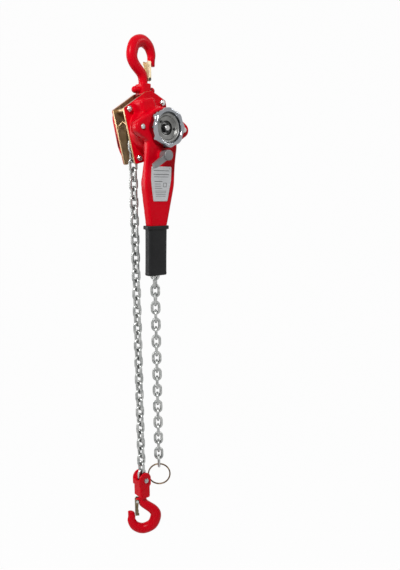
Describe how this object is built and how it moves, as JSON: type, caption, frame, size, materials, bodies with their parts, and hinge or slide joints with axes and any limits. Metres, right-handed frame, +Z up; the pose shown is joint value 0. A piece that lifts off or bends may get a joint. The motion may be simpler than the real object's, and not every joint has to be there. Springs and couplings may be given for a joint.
{
  "type": "lever chain hoist",
  "caption": "Hand lever chain hoist: top hook and yoke, red gear and brake covers, ratchet lever with rubber grip, load chain with swivel hook, free fall with end ring.",
  "frame": {"origin": "seat of the top hook, where the ring or rail that carries the hoist bears", "axes": "+Z up the hanging hoist, X along the row of the two chain falls with the free fall on +X, -Y the side of the lever and the hand wheel"},
  "size_m": [0.1238, 0.145, 1.0237],
  "materials": {
    "red_paint": "glossy red enamel",
    "zinc_yellow": "yellow-passivated zinc plate",
    "zinc_silver": "bright zinc plate",
    "galvanised": "galvanised chain steel",
    "chrome": "polished chrome",
    "machined": "machined steel, oiled",
    "friction": "pressed friction lining",
    "bronze": "sintered bronze",
    "rubber": "black moulded rubber",
    "plate_bare": "satin aluminium plate, bare",
    "dark_ring": "dark oxidised wire",
    "selector_grey": "grey die casting",
    "spring_steel": "spring wire"
  },
  "bodies": {
    "top_hook": {"top_hook": "red_paint", "top_latch_pin": "zinc_silver", "top_latch_spring": "spring_steel"},
    "top_latch": {"top_latch": "zinc_yellow"},
    "top_yoke": {"top_yoke": "red_paint", "top_yoke_studs": "red_paint"},
    "hoist_body": {"front_side_plate": "zinc_yellow", "back_side_plate": "zinc_yellow", "stay_rods": "zinc_yellow", "guide_roller": "zinc_yellow", "stay_nuts": "zinc_silver", "sheave_bushes": "bronze", "gear_cover": "red_paint", "gear_bushes": "bronze", "brake_cover": "red_paint", "pawl_pins": "machined", "pawl_springs": "spring_steel", "chain_guide": "zinc_yellow", "chain_over_sheave": "galvanised", "top_pin": "zinc_silver"},
    "load_sheave": {"load_sheave": "machined", "load_gear": "machined"},
    "disc_gear_upper": {"disc_gear_upper": "machined"},
    "disc_gear_lower": {"disc_gear_lower": "machined"},
    "pinion_shaft": {"pinion_shaft": "machined", "friction_hub": "machined", "change_gear": "machined", "castle_nut": "zinc_silver", "cotter_pin": "zinc_silver", "wheel_spring": "spring_steel"},
    "ratchet_disc": {"ratchet_disc": "machined", "brake_lining_rear": "friction", "brake_lining_front": "friction"},
    "brake_pawl_upper": {"brake_pawl_upper": "machined"},
    "brake_pawl_lower": {"brake_pawl_lower": "machined"},
    "lever": {"lever_shell": "red_paint", "lever_tang": "machined", "lever_grip": "rubber", "lever_back_plate": "red_paint", "ear_screws": "zinc_silver", "nameplate": "plate_bare"},
    "selector": {"selector": "selector_grey", "feed_pawl": "machined"},
    "detent_plunger": {"detent_plunger": "machined"},
    "hand_wheel": {"hand_wheel": "chrome", "wheel_screws": "zinc_silver"},
    "load_chain_top_link": {"load_chain_top_link": "galvanised"},
    "load_chain": {"load_chain": "galvanised"},
    "load_chain_end_link": {"load_chain_end_link": "galvanised"},
    "load_yoke": {"load_yoke": "red_paint", "load_yoke_studs": "red_paint", "chain_pin": "zinc_silver"},
    "load_hook": {"load_hook": "red_paint", "load_latch_pin": "zinc_silver", "load_latch_spring": "spring_steel"},
    "load_latch": {"load_latch": "zinc_yellow"},
    "tail_chain_top_link": {"tail_chain_top_link": "galvanised"},
    "tail_chain": {"tail_chain": "galvanised"},
    "end_ring": {"end_ring": "dark_ring"}
  },
  "joints": [
    {"name": "top_latch_open", "type": "hinge", "parent": "top_hook", "child": "top_latch", "pos_m": [0.01132, 0.002, -0.057], "axis": [0.1736, -0.9848, 0], "range_deg": [0, 22], "stiffness_Nm_per_rad": 0.05, "springref_deg": -34.38, "deforming": ["top_latch_spring"]},
    {"name": "top_hook_swivel", "type": "hinge", "parent": "top_hook", "child": "top_yoke", "pos_m": [0, 0, -0.0665], "axis": [0, 0, 1], "continuous": true},
    {"name": "body_swing", "type": "hinge", "parent": "top_yoke", "child": "hoist_body", "pos_m": [0, 0, -0.0938], "axis": [0, 1, 0], "range_deg": [-20, 20]},
    {"name": "sheave_spin", "type": "hinge", "parent": "hoist_body", "child": "load_sheave", "pos_m": [-0.005, 0, -0.15401], "axis": [0, 1, 0], "continuous": true, "deforming": ["chain_over_sheave"]},
    {"name": "disc_gear_upper_spin", "type": "hinge", "parent": "hoist_body", "child": "disc_gear_upper", "pos_m": [-0.01086, 0, -0.1252], "axis": [0, 1, 0], "continuous": true},
    {"name": "disc_gear_lower_spin", "type": "hinge", "parent": "hoist_body", "child": "disc_gear_lower", "pos_m": [0.00086, 0, -0.18282], "axis": [0, 1, 0], "continuous": true},
    {"name": "pinion_spin", "type": "hinge", "parent": "hoist_body", "child": "pinion_shaft", "pos_m": [-0.005, 0, -0.15401], "axis": [0, 1, 0], "continuous": true},
    {"name": "ratchet_spin", "type": "hinge", "parent": "hoist_body", "child": "ratchet_disc", "pos_m": [-0.005, 0, -0.15401], "axis": [0, 1, 0], "continuous": true},
    {"name": "brake_pawl_upper_lift", "type": "hinge", "parent": "hoist_body", "child": "brake_pawl_upper", "pos_m": [-0.02726, 0, -0.127], "axis": [0, -1, 0], "range_deg": [0, 10], "stiffness_Nm_per_rad": 0.02, "springref_deg": -28.65},
    {"name": "brake_pawl_lower_lift", "type": "hinge", "parent": "hoist_body", "child": "brake_pawl_lower", "pos_m": [0.01726, 0, -0.18101], "axis": [0, -1, 0], "range_deg": [0, 10], "stiffness_Nm_per_rad": 0.02, "springref_deg": -28.65},
    {"name": "lever_swing", "type": "hinge", "parent": "hoist_body", "child": "lever", "pos_m": [-0.005, 0, -0.15401], "axis": [0, 1, 0], "continuous": true},
    {"name": "selector_turn", "type": "hinge", "parent": "lever", "child": "selector", "pos_m": [-0.00652, 0, -0.20248], "axis": [0, -1, 0], "range_deg": [0, 118]},
    {"name": "detent_press", "type": "slide", "parent": "lever", "child": "detent_plunger", "axis": [-0.0314, 0, -0.9995], "range_m": [0, 0.002], "stiffness_N_per_m": 500, "springref_m": -0.004},
    {"name": "wheel_pull", "type": "slide", "parent": "pinion_shaft", "child": "hand_wheel", "axis": [0, -1, 0], "range_m": [0, 0.008], "deforming": ["wheel_spring"]},
    {"name": "load_top_link_swing", "type": "hinge", "parent": "hoist_body", "child": "load_chain_top_link", "pos_m": [-0.02852, 0, -0.20343], "axis": [1, 0, 0], "range_deg": [-3, 25]},
    {"name": "load_chain_swing", "type": "hinge", "parent": "load_chain_top_link", "child": "load_chain", "pos_m": [-0.02852, 0, -0.22143], "axis": [0, 1, 0], "range_deg": [0, 25]},
    {"name": "load_end_link_swing", "type": "hinge", "parent": "load_chain", "child": "load_chain_end_link", "pos_m": [-0.02852, 0, -0.85143], "axis": [1, 0, 0], "range_deg": [-20, 20]},
    {"name": "load_yoke_swing", "type": "hinge", "parent": "load_chain_end_link", "child": "load_yoke", "pos_m": [-0.02852, 0, -0.87068], "axis": [0, 1, 0], "range_deg": [-20, 20]},
    {"name": "load_hook_swivel", "type": "hinge", "parent": "load_yoke", "child": "load_hook", "pos_m": [-0.02852, 0, -0.91218], "axis": [0, 0, 1], "continuous": true},
    {"name": "load_latch_open", "type": "hinge", "parent": "load_hook", "child": "load_latch", "pos_m": [-0.03848, 0.00575, -0.92168], "axis": [-0.5, -0.866, 0], "range_deg": [0, 22], "stiffness_Nm_per_rad": 0.05, "springref_deg": -34.38, "deforming": ["load_latch_spring"]},
    {"name": "tail_top_link_swing", "type": "hinge", "parent": "hoist_body", "child": "tail_chain_top_link", "pos_m": [0.01852, 0, -0.20413], "axis": [0, 1, 0], "range_deg": [-25, 0]},
    {"name": "tail_chain_swing", "type": "hinge", "parent": "tail_chain_top_link", "child": "tail_chain", "pos_m": [0.01852, 0, -0.22213], "axis": [1, 0, 0], "range_deg": [-3, 25]},
    {"name": "end_ring_swing", "type": "hinge", "parent": "tail_chain", "child": "end_ring", "pos_m": [0.01852, 0, -0.85473], "axis": [-0.8049, 0.5934, 0], "range_deg": [-60, 35]}
  ],
  "couplings": [
    {"joint": "disc_gear_upper_spin", "follows": "sheave_spin", "ratio": -2.5},
    {"joint": "disc_gear_lower_spin", "follows": "sheave_spin", "ratio": -2.5},
    {"joint": "pinion_spin", "follows": "sheave_spin", "ratio": 6.25}
  ]
}
